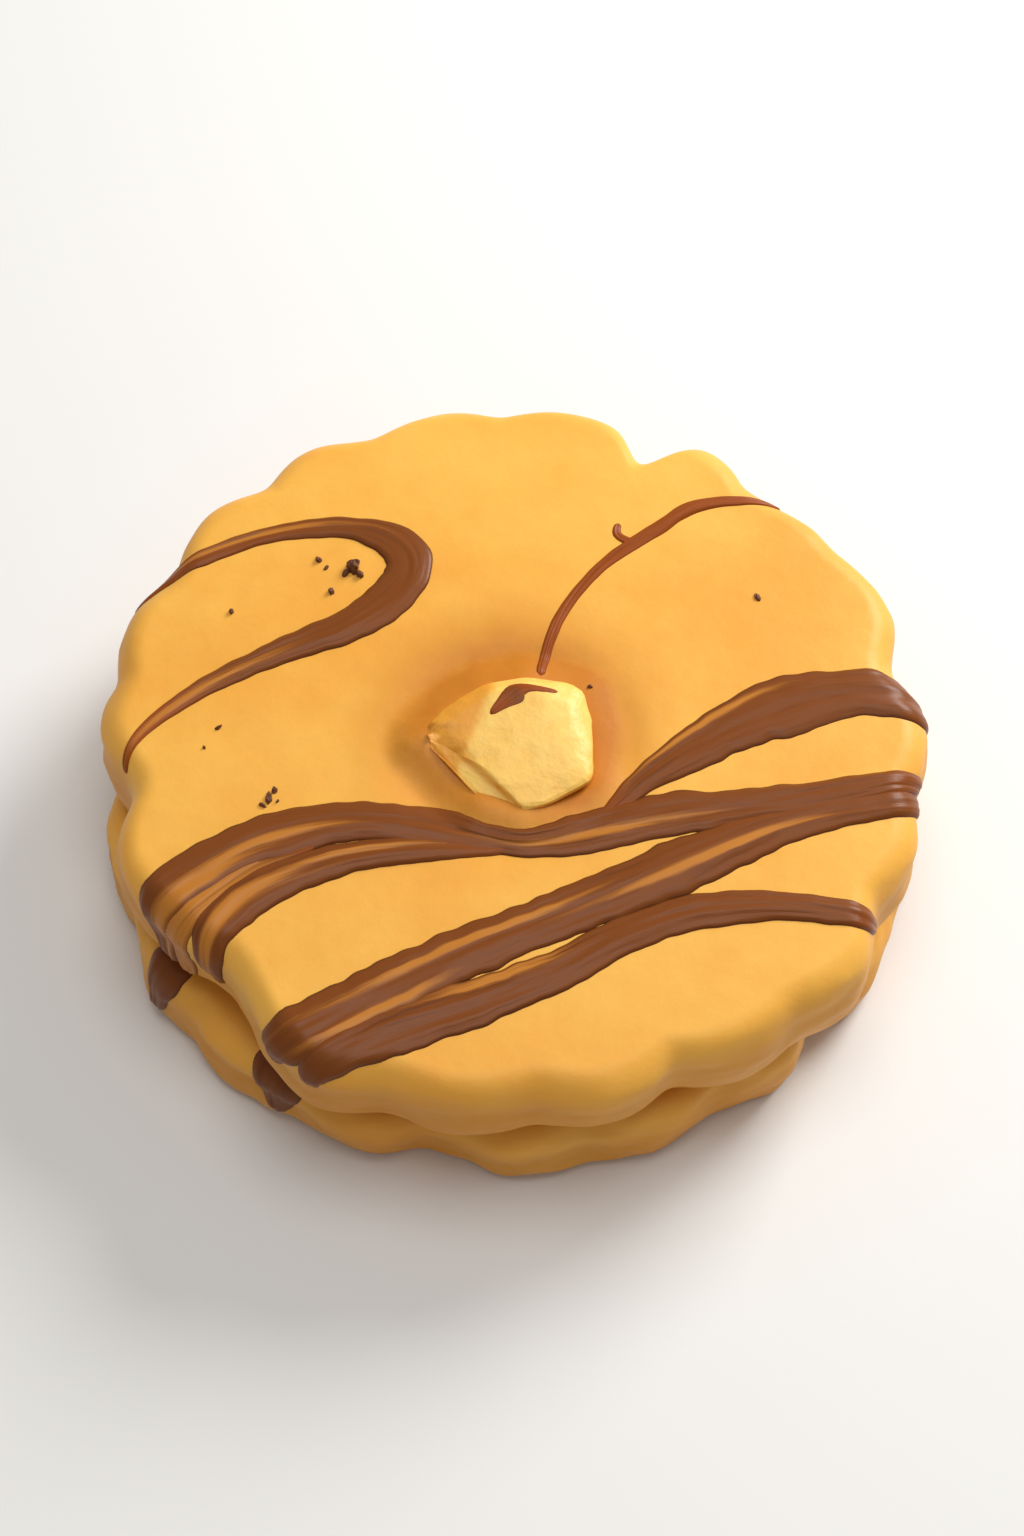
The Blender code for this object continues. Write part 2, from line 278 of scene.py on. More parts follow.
# %% The rim's rule
RIM_RADIUS = 36.5 * MM
FLUTES = 18
FLUTE_DEPTH = 1.5 * MM
FLUTE_MIDDLE = 0.7
FLUTE_STRENGTH = 0.9
FLUTE_UNEVENNESS = 0.7
VALLEY_SOFTNESS = 0.3
FLUTE_WANDER = 0.07
RIM_WANDER = 0.9 * MM
TURN_ROUGHNESS = 1.6
STRENGTH_ROUGHNESS = 2.3
RIM_ROUGHNESS = 1.2


def wander(theta, roughness, seed):
    """Smooth noise round the rim that meets itself after a full turn."""
    return noise.noise(Vector((roughness * math.cos(theta), roughness * math.sin(theta), seed)))


def angle_between(a, b):
    return abs((a - b + math.pi) % math.tau - math.pi)


def rim_radius(theta, seed, turn, notches):
    """Distance of the rim from the middle in the direction theta."""
    turned = theta + turn + FLUTE_WANDER * wander(theta, TURN_ROUGHNESS, seed)
    lobe = math.hypot(math.cos(turned * FLUTES / 2.0), VALLEY_SOFTNESS) - FLUTE_MIDDLE
    strength = FLUTE_STRENGTH + FLUTE_UNEVENNESS * wander(theta, STRENGTH_ROUGHNESS, seed + 3.1)
    radius = RIM_RADIUS + FLUTE_DEPTH * strength * lobe
    radius += RIM_WANDER * wander(theta, RIM_ROUGHNESS, seed + 7.7)
    for angle, half_width, depth in notches:
        away = angle_between(theta, math.radians(angle)) / math.radians(half_width)
        radius -= depth * MM * math.exp(-away * away)
    return radius


def smooth(t):
    t = np.clip(t, 0.0, 1.0)
    return t * t * (3.0 - 2.0 * t)


# %% What is known of each round
# The rim is drawn in by SKIN, so that the icing's relief stays inside the box of the solids.
SKIN = 0.15 * MM
DIP_RADIUS = 13.0 * MM
DIP_DEPTH = 2.5 * MM
HANG_MIDDLE = 0.5
HANG_UNEVENNESS = 1.4
HANG_ROUGHNESS = 3.4

# The pinched and the full places of each rim: direction and half width in degrees, depth in mm.
TOP_NOTCHES = (
    (67, 4, 3.4),
    (10, 6, 1.2),
    (45, 7, 1.6),
    (190, 8, 1.8),
    (224, 7, 3.0),
    (154, 5, 0.9),
    (245, 8, -1.2),
    (315, 12, -1.2),
)
BASE_NOTCHES = ((95, 6, 1.6), (262, 7, 1.4), (318, 6, 1.2))


class Round:
    """One iced round: its rim, its heights and how its skin runs over them."""

    def __init__(self, seed, level, height, shoulder, dome, drip, dip, notches):
        self.level = level
        self.height = height
        self.shoulder = shoulder
        self.dome = dome
        self.dip = dip
        turn = random.Random(seed).uniform(0.0, math.tau / FLUTES)
        self.angles = np.arange(SECTORS) * math.tau / SECTORS
        self.rim = np.array([rim_radius(theta, seed, turn, notches) for theta in self.angles]) - SKIN
        hang = [wander(theta, HANG_ROUGHNESS, seed + 11.3) for theta in self.angles]
        self.low = -drip * smooth(HANG_MIDDLE + HANG_UNEVENNESS * np.array(hang))

    def top(self, x, y):
        """Height of the upper face over the plan."""
        level = self.height + self.dome * (1.0 - (x * x + y * y) / RIM_RADIUS**2)
        away = np.hypot(x - NUT_PLACE[0], y - NUT_PLACE[1]) / DIP_RADIUS
        return level - self.dip * (1.0 - smooth(away))

    def laid(self, x, y):
        """Points of the icing under plan positions that run on over the rim and down the side."""
        theta, length = np.arctan2(y, x), np.hypot(x, y)
        rim = np.interp(theta % math.tau, self.angles, self.rim, period=math.tau)
        face = rim - self.shoulder
        turn = np.clip((length - face) / self.shoulder, 0.0, math.pi / 2)
        inner = np.minimum(length, face)
        out = inner + self.shoulder * np.sin(turn)
        drop = self.shoulder * (1.0 - np.cos(turn))
        drop += np.clip(length - face - self.shoulder * math.pi / 2, 0.0, None)
        z = self.level + self.top(inner * np.cos(theta), inner * np.sin(theta)) - drop
        return np.stack([out * np.cos(theta), out * np.sin(theta), z], -1)


# %% The two rounds
top_round = Round(
    seed=4.2,
    level=TOP_LEVEL,
    height=TOP_HEIGHT,
    shoulder=2.7 * MM,
    dome=0.7 * MM,
    drip=1.5 * MM,
    dip=DIP_DEPTH,
    notches=TOP_NOTCHES,
)
base_round = Round(
    seed=9.6,
    level=0.0,
    height=BASE_HEIGHT,
    shoulder=2.4 * MM,
    dome=0.0,
    drip=0.0,
    dip=0.0,
    notches=BASE_NOTCHES,
)
print("rim from", round(top_round.rim.min() / MM, 1), "to", round(top_round.rim.max() / MM, 1), "mm")

# %% [markdown]
# ## Icing
#
# The caramel icing is a fat glaze that sets smooth and opaque, with a satin sheen. It is a warm
# yellow where it lies open. In its dips and down the side it is painted a deeper amber, as painted
# shade for the light that has to bounce about there before it leaves. A flat colour would look like
# plastic, so its tone drifts a little over centimetres, its gloss drifts too, and fine shallow bumps
# break up the highlights. The painted shade could follow height, but the dip and the side aren't at
# one height, so the mesh carries a number that says where it goes.


# %% Start a material
def start_material(name):
    """A material whose Principled shader is ready to take what varies."""
    made = bpy.data.materials.new(name)
    made.use_nodes = True
    bench = Bench(made.node_tree)
    return made, bench, made.node_tree.nodes["Principled BSDF"]


def feed(bench, shader, links):
    """Links what varies over the surface to the shader."""
    for name, wire in links.items():
        bench.tree.links.new(wire.socket, shader.inputs[name])


def own_place(bench, scale=(1.0, 1.0, 1.0)):
    """Object coordinates in millimetres, stretched by the scale."""
    place = bench.node("ShaderNodeTexCoord")["Object"]
    return place * tuple(value / MM for value in scale)


def bumped(bench, height):
    """A normal bent by a height in millimetres."""
    return bench.node("ShaderNodeBump", (), {"Height": height, "Distance": MM, "Strength": 1.0})


def soften(shader, weight, depths):
    """Lets light spread under the surface, red furthest."""
    shader.inputs["Subsurface Weight"].default_value = weight
    shader.inputs["Subsurface Radius"].default_value = depths
    shader.inputs["Subsurface Scale"].default_value = 1.5 * MM


# %% The icing's material
ICING_LIGHT = (0.900, 0.480, 0.082, 1.0)
ICING_WARM = (0.830, 0.375, 0.050, 1.0)
# Amber for painted shade in the dip, beside the nut and down the side.
ICING_PAINTED_SHADE = (0.560, 0.190, 0.014, 1.0)
ICING_ROUGHNESS = 0.46
ICING_SPECULAR = 0.25


def make_icing(name):
    """Warm yellow that drifts, amber painted shade where the mesh marks it, and a shallow grain."""
    material, bench, shader = start_material(name)
    place = own_place(bench)
    drift = bench.noise(place, 0.055, 3.0)
    cloud = bench.noise(place, 0.35, 4.0, 0.6)
    hollow = bench.painted("hollow")
    tone = bench.step(drift * 0.9 + cloud * 0.25 + 0.5, 0.0, 1.0)
    open_colour = bench.blend(tone, ICING_WARM, ICING_LIGHT)
    # Painted shade: the colour turns amber where the mesh marks painted shade.
    colour = bench.blend(hollow * (1.0 + cloud * 0.3), open_colour, ICING_PAINTED_SHADE)
    grain = bench.noise(place, 0.8, 4.0, 0.55)
    feed(bench, shader, {
        "Base Color": colour,
        "Roughness": ICING_ROUGHNESS + cloud * 0.05 + grain * 0.03,
        "Normal": bumped(bench, grain * 0.012 + cloud * 0.04),
    })
    soften(shader, 0.12, (1.0, 0.45, 0.15))
    shader.inputs["Specular IOR Level"].default_value = ICING_SPECULAR
    return material


icing = make_icing("caramel_icing")
print(icing.name, "has", len(icing.node_tree.nodes), "nodes")

# %% [markdown]
# ## Nut
#
# The nut is a pale broken piece, flat-faced where it snapped, with softer edges where the icing has
# wetted it. It could be sculpted, but a convex hull of a few chosen corners gives the flat faces at
# once, as it does in the solids. Its edges are bevelled. A tree then cuts it finer, lowers the front
# left part by a small step along a crack, and roughens it. The tree also marks where the pale nut is
# painted a darker amber, as painted shade: on the flanks, on the slope at the left and in the fold
# of the crack.

# %% The nut's corners
NUT_CREST = (
    (-4.6, 0.9, 3.8),
    (-1.6, 4.3, 5.0),
    (1.6, 4.8, 5.3),
    (5.4, 3.1, 4.8),
    (5.2, -2.4, 4.4),
    (-1.0, -4.4, 3.7),
)
NUT_WAIST = 1.7 * MM
NUT_FOOT_SIZE = 0.86
NUT_CLEARANCE = 0.1 * MM
NUT_HEEL = 0.2 * MM
# The nut sits this much lower than its solid, so that its roughness stays inside the solids' box.
NUT_SETTLING = 0.14 * MM
NUT_WEAR = 0.55 * MM
FLAT_ENOUGH = math.radians(4)


def nut_floor(x, y):
    """Height of the icing plus the solids' gap, at a place in millimetres from the nut's middle."""
    return TOP_LEVEL + top_round.top(x * MM + NUT_PLACE[0], y * MM + NUT_PLACE[1]) + GAP


def nut_hull(name):
    """The hull of the foot, the widest corners and the crest, with its edges worn round."""
    bed = nut_floor(0.0, 0.0)
    bm = bmesh.new()
    for x, y in NUT_CORNERS:
        foot = nut_floor(x, y) - bed + NUT_CLEARANCE
        bm.verts.new((NUT_FOOT_SIZE * x * MM, NUT_FOOT_SIZE * y * MM, foot))
        bm.verts.new((x * MM, y * MM, foot + NUT_WAIST))
    for x, y, z in NUT_CREST:
        bm.verts.new((x * MM, y * MM, z * MM))
    bm.verts.new((0.0, 0.0, NUT_HEEL))
    hull = bmesh.ops.convex_hull(bm, input=bm.verts)
    bmesh.ops.delete(bm, geom=hull["geom_interior"], context="VERTS")
    bmesh.ops.dissolve_limit(bm, angle_limit=FLAT_ENOUGH, verts=bm.verts, edges=bm.edges)
    bmesh.ops.bevel(bm, geom=bm.edges, offset=NUT_WEAR, segments=3, affect="EDGES", profile=0.5)
    bmesh.ops.triangulate(bm, faces=bm.faces)
    bmesh.ops.recalc_face_normals(bm, faces=bm.faces)
    bmesh.ops.translate(bm, verts=bm.verts, vec=(*(NUT_PLACE + SHIFT), bed - NUT_SETTLING))
    mesh = bpy.data.meshes.new(name)
    bm.to_mesh(mesh)
    bm.free()
    return mesh


# %% The nut's material
NUT_PALE = (0.990, 0.640, 0.150, 1.0)
NUT_WARM = (0.960, 0.540, 0.098, 1.0)
# Amber for painted shade on the nut's flanks, its left slope and the fold of its crack.
NUT_SHADED = (0.800, 0.340, 0.028, 1.0)
NUT_ROUGHNESS = 0.46


def make_nut_material(name):
    """Pale and mottled, with a fine fibre across it, and painted shade in amber where the mesh marks it.
    """
    material, bench, shader = start_material(name)
    place = own_place(bench)
    cloud = bench.noise(place, 0.28, 4.0, 0.6)
    fibre = bench.noise(own_place(bench, (0.6, 1.2, 1.0)), 0.7, 4.0, 0.55)
    flank = bench.painted("flank")
    colour = bench.blend(bench.step(cloud + fibre * 0.4, -0.5, 0.7), NUT_WARM, NUT_PALE)
    # Painted shade in amber where the mesh marks it.
    colour = bench.blend(bench.step(flank + cloud * 0.3, 0.15, 0.95), colour, NUT_SHADED)
    feed(bench, shader, {
        "Base Color": colour,
        "Roughness": NUT_ROUGHNESS + fibre * 0.08,
        "Normal": bumped(bench, fibre * 0.02 + cloud * 0.12),
    })
    soften(shader, 0.15, (1.0, 0.6, 0.25))
    return material


# %% The tree that breaks the nut
NUT_INPUTS = {
    "Cuts": "Int",
    "Crack place": "Vector",
    "Crack side": "Vector",
    "Slope place": "Vector",
    "Slope side": "Vector",
    "Step": "Float",
    "Roughening": "Float",
    "Material": "Material",
}
WOBBLE_SIZE = 3.0 * MM
WOBBLE = 0.5 * MM
SLOPE_REACH = 2.0 * MM
CHIP_SIZE = 2.6 * MM
PIT_SIZE = 1.6 * MM


def beyond(bench, given, line, wobble):
    """How far a point lies past a wavering line, on the side that the inputs name."""
    from_line = bench.place() - given[line + " place"]
    return bench.maths("DOT_PRODUCT", from_line, given[line + " side"])["Value"] + wobble


def build_nut_tree():
    bench, given = start_tree("broken_nut", NUT_INPUTS)
    cuts = {"Mesh": given["Geometry"], "Level": given["Cuts"]}
    fine = bench.node("GeometryNodeSubdivideMesh", (), cuts)
    place, normal = bench.place(), bench.normal()
    wobble = bench.noise(place, 1.0 / WOBBLE_SIZE, 2.0) * WOBBLE
    crack, slope = (beyond(bench, given, line, wobble) for line in ("Crack", "Slope"))
    facing_up = bench.step(bench.node("ShaderNodeSeparateXYZ", (), {0: normal})["Z"], 0.2, 0.7)
    drop = given["Step"] * bench.step(crack, -0.2 * MM, 0.3 * MM) * facing_up
    fold = bench.step(crack, -0.4 * MM, 0.0) * (1.0 - bench.step(crack, 0.1 * MM, 0.8 * MM))
    chips = {"Vector": place, "Scale": 1.0 / CHIP_SIZE}
    chip = bench.node("ShaderNodeTexVoronoi", {"feature": "F1"}, chips)
    pits = bench.noise(place, 1.0 / PIT_SIZE, 2.0)
    rough = (chip - 0.5 + 0.4 * pits) * given["Roughening"]
    broken = bench.move(fine, "Offset", normal * rough + bench.vector(z=drop * -1.0))
    # Painted shade: darker on the flanks that face sideways, on the slope at the left and in the crack's
    # fold.
    shade_on_nut = 0.9 * (1.0 - facing_up) + bench.step(slope, 0.0, SLOPE_REACH) + 0.6 * fold
    marked = bench.store(broken, "flank", shade_on_nut)
    soft = bench.node("GeometryNodeSetShadeSmooth", (), {"Geometry": marked})
    return close_tree(bench, soft, given["Material"])


# %% Grow the nut
def on_nut(x, y):
    """A place in millimetres from the nut's middle, as a point of the scene."""
    return (*(NUT_PLACE + SHIFT + np.array((x, y)) * MM), 0.0)


nut_values = {
    "Cuts": 3,
    "Crack place": on_nut(-3.1, -2.4),
    "Crack side": (-0.73, -0.68, 0.0),
    "Slope place": on_nut(-2.0, 1.0),
    "Slope side": (-0.93, 0.37, 0.0),
    "Step": 0.4 * MM,
    "Roughening": 0.12 * MM,
    "Material": make_nut_material("broken_nut"),
}
nut = grow("nut_piece", nut_hull("nut_hull"), build_nut_tree(), nut_values)
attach(nut, "root")
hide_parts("nut")

# %% [markdown]
# ## The iced rounds
#
# A round's section is a face, a rounded shoulder, a side, a rounded foot and an underside. It could
# be lathed, but the rim isn't a circle. So a tree lays the vertices of a plain grid: one direction
# walks round the rim, which comes in as a closed line, and the other walks along the section. Each
# part of the section has its own progress from 0 to 1, and the sums of the parts give radius and
# height. Noise then makes the side lumpy, as poured icing is, and near the nut the icing is drawn up
# its flanks, as a thick liquid is before it sets. The tree also stores where its material paints
# shade in amber: in the dip, close behind and beside the nut, and down the side.

# %% The inputs of a round's tree
SECTION_PARTS = ("Face", "Shoulder", "Side", "Foot", "Under")
ROUND_INPUTS = {
    "Sectors": "Int",
    **{part + " rings": "Int" for part in SECTION_PARTS},
    "Height": "Float",
    "Shoulder": "Float",
    "Foot": "Float",
    "Dome": "Float",
    "Dip depth": "Float",
    "Dip radius": "Float",
    "Dip place": "Vector",
    "Shade": "Float",
    "Lumps": "Float",
    "Lump size": "Float",
    "Swell": "Float",
    "Relief": "Float",
    "Seed": "Float",
    "Level": "Float",
    "Shift": "Vector",
    "Nut": "Object",
    "Creep": "Float",
    "Creep reach": "Float",
    "Material": "Material",
}


# %% The section of a round
LUMPS_ROUND = 3.6


def walk_section(bench, given, ring):
    """Progress along each part of the section, from the middle of the face to that of the underside."""
    progress, start = {}, 0.0
    for part in SECTION_PARTS:
        count = given[part + " rings"]
        progress[part] = bench.ramp_up(ring, start, start + count)
        start = start + count
    return progress, start


def quarter(bench, progress, operation):
    """Sine or cosine of a quarter turn, for a rounded corner."""
    return bench.maths(operation, progress * (math.pi / 2))


def lay_section(bench, given, progress, edge):
    """Where each vertex of the grid goes, and its place in the plan."""
    apart = bench.node("ShaderNodeSeparateXYZ", (), {0: edge})
    low = apart["Z"]
    flat = bench.vector(apart["X"], apart["Y"])
    rim = bench.maths("LENGTH", flat)["Value"]
    heading = bench.maths("NORMALIZE", flat)
    face = rim - given["Shoulder"]
    plan = heading * (face * progress["Face"])
    spread = bench.maths("LENGTH", plan)["Value"] / RIM_RADIUS
    away = bench.maths("DISTANCE", plan, given["Dip place"])["Value"]
    dip = 1.0 - bench.step(away, 0.0, given["Dip radius"])
    level = given["Height"] + given["Dome"] * (1.0 - spread * spread) - given["Dip depth"] * dip
    side = level - given["Shoulder"] - given["Foot"] - low
    sink = given["Shoulder"] * (1.0 - quarter(bench, progress["Shoulder"], "COSINE"))
    sink = sink + side * progress["Side"] + given["Foot"] * quarter(bench, progress["Foot"], "SINE")
    z = level - sink - low * bench.step(progress["Under"], 0.0, 0.06)
    out = face * progress["Face"] + given["Shoulder"] * quarter(bench, progress["Shoulder"], "SINE")
    out = out - given["Foot"] * (1.0 - quarter(bench, progress["Foot"], "COSINE"))
    out = out - (rim - given["Foot"]) * progress["Under"]
    lumpy = bench.step(progress["Shoulder"], 0.15, 1.0) * (1.0 - progress["Under"])
    upright = bench.vector(z=z / given["Lump size"] + given["Seed"])
    lump = bench.noise(heading * LUMPS_ROUND + upright, 1.0, 2.0) * given["Lumps"]
    belly = bench.maths("SINE", (progress["Side"] * 0.7 + progress["Foot"] * 0.3) * math.pi)
    out = out + (lump + given["Swell"] * belly) * lumpy
    return heading * out + bench.vector(z=z + given["Level"]) + given["Shift"], plan


# %% The relief of a round, the painted shade, and the icing that creeps up the nut
SHADE_BACKWARD = (0.0, 2.5 * MM, 0.0)
SHADE_SPAN = (0.45, 1.25)
SIDE_SHADE = 0.5
WAVE_SIZE = 11.0 * MM
RIPPLE_SIZE = 4.5 * MM
BESIDE_NUT = 7.0 * MM
LESS_CREEP_RIGHT = 0.45


def mark_painted_shade(bench, given, progress, plan):
    """Painted shade on the icing: in the dip, a little behind its middle, and down the side."""
    middle = given["Dip place"] + SHADE_BACKWARD
    behind = bench.maths("DISTANCE", plan, middle)["Value"]
    near, far = (given["Dip radius"] * share for share in SHADE_SPAN)
    shade = 1.0 - bench.step(behind, near, far)
    side = bench.step(progress["Shoulder"] + progress["Side"], 0.3, 1.4)
    return shade * given["Shade"] + side * SIDE_SHADE


def add_relief(bench, given, closed):
    """Slow waves in the skin of the icing, which the underside is left out of."""
    place = bench.place() + given["Seed"]
    wave = bench.noise(place, 1.0 / WAVE_SIZE, 2.0) + 0.35 * bench.noise(place, 1.0 / RIPPLE_SIZE, 2.0)
    height = wave * given["Relief"] * bench.stored("skin")
    return bench.move(closed, "Offset", bench.normal() * height)


def draw_up(bench, given, poured):
    """Lifts the icing beside the nut, and paints more shade behind the nut and on its right."""
    near = bench.node("GeometryNodeProximity", {"target_element": "FACES"}, {
        "Target": bench.mesh_of(given["Nut"]),
    })
    beside = (1.0 - bench.step(near["Distance"], 0.0, given["Creep reach"])) * bench.stored("skin")
    from_dip = bench.node("ShaderNodeSeparateXYZ", (), {
        0: bench.place() - given["Dip place"] - given["Shift"],
    })
    right, back = (bench.step(from_dip[axis], 0.0, BESIDE_NUT) for axis in ("X", "Y"))
    creep = given["Creep"] * beside * (1.0 - LESS_CREEP_RIGHT * right)
    drawn = bench.move(poured, "Offset", bench.vector(z=creep))
    # Painted shade: more of it close behind the nut and on its right.
    more = given["Shade"] * beside * (right + back) * 0.5
    return bench.store(drawn, "hollow", bench.stored("hollow") + more)


# %% The tree of a round
MERGE_DISTANCE = 1e-6


def build_round_tree():
    bench, given = start_tree("iced_round", ROUND_INPUTS)
    index = bench.node("GeometryNodeInputIndex")
    across = given["Sectors"] + 1.0
    ring = bench.maths("FLOOR", (index + 0.5) / across)
    sector = bench.maths("MODULO", index - ring * across, given["Sectors"])
    progress, rings = walk_section(bench, given, ring)
    grid = bench.node("GeometryNodeMeshGrid", (), {
        "Size X": 1.0, "Size Y": 1.0, "Vertices X": rings + 1.0, "Vertices Y": across,
    })
    edge = bench.node("GeometryNodeSampleIndex", {"data_type": "FLOAT_VECTOR"}, {
        "Geometry": given["Geometry"], "Value": bench.place(), "Index": sector,
    })
    position, plan = lay_section(bench, given, progress, edge)
    laid = bench.move(grid["Mesh"], "Position", position)
    # The painted shade is stored on the mesh for the icing's material.
    marked = bench.store(laid, "hollow", mark_painted_shade(bench, given, progress, plan))
    marked = bench.store(marked, "skin", 1.0 - bench.step(progress["Foot"], 0.0, 0.8))
    merge = {"Geometry": marked, "Distance": MERGE_DISTANCE}
    closed = bench.node("GeometryNodeMergeByDistance", (), merge)
    drawn = draw_up(bench, given, add_relief(bench, given, closed))
    soft = bench.node("GeometryNodeSetShadeSmooth", (), {"Geometry": drawn})
    return close_tree(bench, soft, given["Material"])


round_tree = build_round_tree()
print("the round's tree has", len(round_tree.nodes), "nodes")


# %% Grow the two rounds
def rim_mesh(name, shape):
    """The rim as a closed line whose height is how far the icing hangs."""
    x, y = shape.rim * np.cos(shape.angles), shape.rim * np.sin(shape.angles)
    mesh = bpy.data.meshes.new(name)
    edges = [(k, (k + 1) % SECTORS) for k in range(SECTORS)]
    mesh.from_pydata(np.stack([x, y, shape.low], -1).tolist(), edges, [])
    return mesh


LUMP_SIZE = 5.0 * MM
SWELL = 0.1 * MM
DIP_SHADE = 0.95
CREEP_REACH = 3.8 * MM


def make_round(name, shape, rings, lumps, relief, seed, creep):
    values = {part + " rings": count for part, count in zip(SECTION_PARTS, rings)}
    values.update({
        "Sectors": SECTORS,
        "Height": shape.height,
        "Shoulder": shape.shoulder,
        "Foot": FOOT_RADIUS,
        "Dome": shape.dome,
        "Dip depth": shape.dip,
        "Dip radius": DIP_RADIUS,
        "Dip place": (*NUT_PLACE, 0.0),
        "Shade": DIP_SHADE if shape.dip else 0.0,
        "Lumps": lumps,
        "Lump size": LUMP_SIZE,
        "Swell": SWELL,
        "Relief": relief,
        "Seed": seed,
        "Level": shape.level,
        "Shift": (*SHIFT, 0.0),
        "Nut": nut,
        "Creep": creep,
        "Creep reach": CREEP_REACH,
        "Material": icing,
    })
    return grow(name, rim_mesh(name + "_rim", shape), round_tree, values)


top_icing = make_round(
    "top_icing",
    top_round,
    rings=(72, 16, 14, 10, 16),
    lumps=1.0 * MM,
    relief=0.14 * MM,
    seed=2.0,
    creep=2.3 * MM,
)
base_icing = make_round(
    "base_icing",
    base_round,
    rings=(20, 14, 14, 10, 24),
    lumps=1.3 * MM,
    relief=0.12 * MM,
    seed=7.0,
    creep=0.0,
)
for piece, node in ((top_icing, "top_biscuit"), (base_icing, "base_biscuit")):
    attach(piece, "root")
    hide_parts(node)

# %% [markdown]
# ## Poured chocolate
#
# The strands fell from a spoon that swung across the biscuit, so each is a flat ribbon with a low
# crown. It is wide where the spoon slowed and thin where it sped, and it hangs over the rim. Its
# finish is brown with fine streaks along it: thin places let the caramel through, and the edges
# are darker. A bevelled curve would float over the dip and cut through the shoulder. So a tube is
# laid roughly in place, and a tree drops it on to the icing and raises its crown along the icing's
# normal. The paths are those of the solids, but four run a little further down the side at the left,
# and a thin veil and a small curl are added.

# %% The strands' paths
# Each knot is a place in millimetres from the nut's middle, then the width of the strand there.
TOP_STRANDS = {
    "hairpin": (
        (-36.0, 16.7, 1.5),
        (-29.2, 20.6, 2.0),
        (-22.0, 23.5, 2.2),
        (-15.0, 24.2, 2.7),
        (-10.2, 22.0, 4.2),
        (-9.6, 18.0, 4.6),
        (-14.0, 13.6, 4.2),
        (-20.5, 10.4, 2.9),
        (-27.0, 6.8, 2.2),
        (-32.0, 2.6, 1.4),
        (-34.6, -1.6, 0.9),
    ),
    "thread": (
        (2.3, 6.9, 0.9),
        (4.4, 13.9, 1.2),
        (8.0, 19.4, 1.2),
        (13.5, 24.1, 1.6),
        (18.0, 27.1, 1.5),
        (25.6, 27.8, 0.8),
    ),
    "long": (
        (-34.4, -20.6, 2.2),
        (-32.5, -18.3, 3.4),
        (-29.2, -14.3, 4.8),
        (-22.0, -9.4, 5.2),
        (-14.0, -7.4, 4.4),
        (-5.5, -8.1, 4.2),
        (1.5, -9.4, 3.4),
        (8.0, -8.1, 4.4),
        (16.0, -6.5, 4.4),
        (24.0, -5.2, 3.4),
        (31.0, -3.7, 2.6),
        (39.6, -1.8, 1.6),
    ),
    "long_fork": (
        (-28.6, -22.9, 2.0),
        (-26.8, -21.0, 3.0),
        (-22.8, -15.0, 4.4),
        (-15.5, -11.5, 3.4),
        (-8.0, -10.2, 2.8),
        (2.0, -9.8, 1.6),
    ),
    "veil": (
        (-32.4, -22.4, 2.0),
        (-30.4, -19.4, 3.4),
        (-26.4, -14.8, 3.6),
        (-21.5, -11.2, 2.8),
        (-16.5, -9.4, 1.6),
    ),
    "leaf": (
        (7.4, -7.6, 1.4),
        (12.0, -3.0, 3.0),
        (17.5, 1.1, 5.2),
        (24.0, 4.5, 6.2),
        (30.5, 6.1, 5.4),
        (36.0, 5.7, 4.4),
        (40.2, 4.4, 2.8),
    ),
    "front": (
        (-22.0, -31.0, 2.2),
        (-20.5, -29.0, 3.6),
        (-17.5, -27.4, 5.2),
        (-10.5, -23.7, 5.6),
        (-3.5, -20.0, 5.0),
        (4.5, -16.5, 5.0),
        (12.0, -13.0, 5.4),
        (19.5, -9.4, 4.8),
        (26.0, -6.9, 3.8),
        (38.5, -4.4, 2.2),
    ),
    "front_fork": (
        (-17.3, -32.6, 2.0),
        (-16.2, -30.5, 3.2),
        (-10.5, -27.4, 5.0),
        (-3.5, -25.0, 4.8),
        (3.5, -22.0, 4.0),
        (9.5, -18.5, 3.8),
        (16.0, -16.2, 3.6),
        (24.0, -15.7, 3.0),
        (33.2, -17.0, 1.8),
    ),
    "curl": (
        (12.4, 23.0, 0.7),
        (11.0, 22.6, 0.9),
        (9.8, 23.4, 0.9),
        (9.9, 24.8, 0.7),
    ),
}
print(len(TOP_STRANDS), "strands on the top round")

# %% Thin places in the strands
# Where the chocolate is only a film: the strand, then how far along its middle lies and how long it
# is, both in millimetres, and where it lies across and how wide it is, from -1 to 1.
FILMS = (
    ("long", 8.0, 8.0, -0.3, 0.42),
    ("long", 17.0, 8.0, -0.1, 0.15),
    ("long", 46.0, 11.0, -0.2, 0.28),
    ("long_fork", 8.0, 8.0, 0.1, 0.4),
    ("long_fork", 20.0, 8.0, 0.3, 0.2),
    ("veil", 6.0, 14.0, 0.0, 1.0),
    ("leaf", 13.0, 9.0, 0.62, 0.15),
    ("front", 22.0, 12.0, 0.35, 0.16),
    ("front", 12.0, 7.0, -0.5, 0.16),
    ("front", 44.0, 12.0, -0.1, 0.2),
    ("front_fork", 20.0, 8.0, 0.6, 0.3),
    ("hairpin", 12.0, 12.0, 0.2, 0.3),
    ("hairpin", 55.0, 10.0, 0.1, 0.4),
)


def film_over(strand, along, across):
    """How thin the chocolate is, from 0 to 1, at each point of the strand."""
    film = np.zeros_like(along)
    for name, middle, length, side, width in FILMS:
        if name == strand:
            away = ((along / MM - middle) / length) ** 2 + ((across - side) / width) ** 2
            film = np.maximum(film, np.exp(-away))
    return film


# %% Runs on the lower round
# Direction in degrees and width in millimetres, then how wide a run is at parts of its way down.
BASE_RUNS = ((213, 5.0), (236, 6.5), (352, 4.0))
RUN_WIDTHS = ((0.0, 1.1), (0.4, 0.9), (0.75, 0.6), (1.0, 0.5))
RUN_INSET = 1.5 * MM


